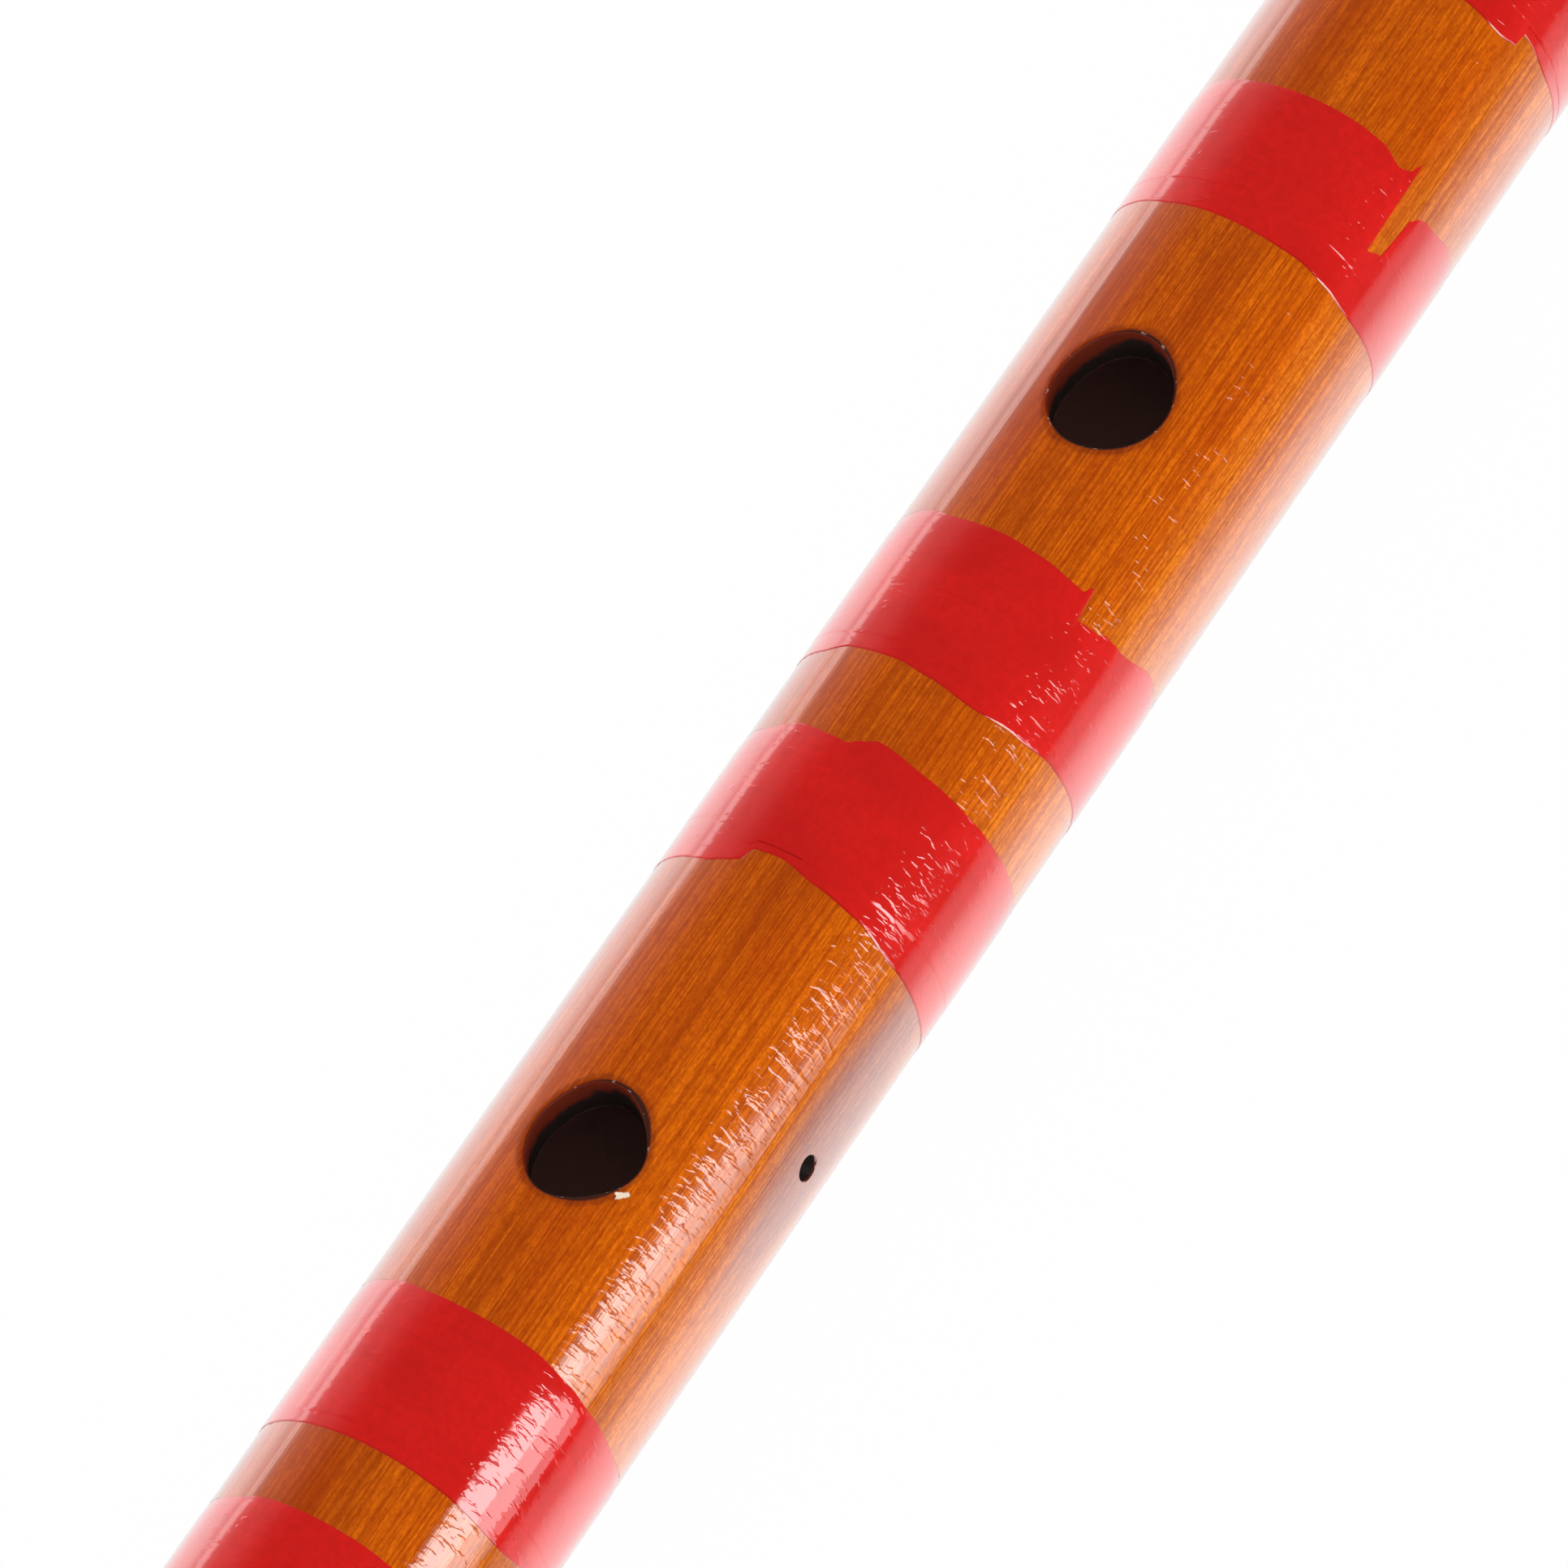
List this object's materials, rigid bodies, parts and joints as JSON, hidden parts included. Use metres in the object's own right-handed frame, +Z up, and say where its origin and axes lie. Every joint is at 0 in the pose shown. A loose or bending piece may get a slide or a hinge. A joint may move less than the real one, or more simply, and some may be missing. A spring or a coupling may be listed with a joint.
{
  "type": "dizi",
  "caption": "Side-blown bamboo flute with blow, membrane, finger, tuning and tassel holes, red film bindings, end rings and a sliding cork stopper.",
  "frame": {"origin": "middle of the flute's length, on the surface that it lies on", "axes": "+X along the flute from the head end to the tail end, +Z up through the playing holes, -Y towards the player"},
  "size_m": [0.56, 0.0238, 0.0237],
  "materials": {
    "varnished_bamboo": "clear gloss varnish over orange-brown bamboo",
    "red_film": "glossy red binding film under varnish",
    "bone_plastic": "polished cream plastic like bone",
    "natural_cork": "bare cork"
  },
  "bodies": {
    "flute": {"bamboo_tube": "varnished_bamboo", "head_ring": "bone_plastic", "tail_ring": "bone_plastic", "binding_01": "red_film", "binding_02": "red_film", "binding_03": "red_film", "binding_04": "red_film", "binding_05": "red_film", "binding_06": "red_film", "binding_07": "red_film", "binding_08": "red_film", "binding_09": "red_film", "binding_10": "red_film", "binding_11": "red_film", "binding_12": "red_film", "binding_13": "red_film", "binding_14": "red_film", "binding_15": "red_film", "binding_16": "red_film"},
    "stopper": {"head_stopper": "natural_cork"}
  },
  "joints": [
    {"name": "stopper_slide", "type": "slide", "parent": "flute", "child": "stopper", "axis": [1, 0, 0], "range_m": [-0.01, 0.003]}
  ]
}
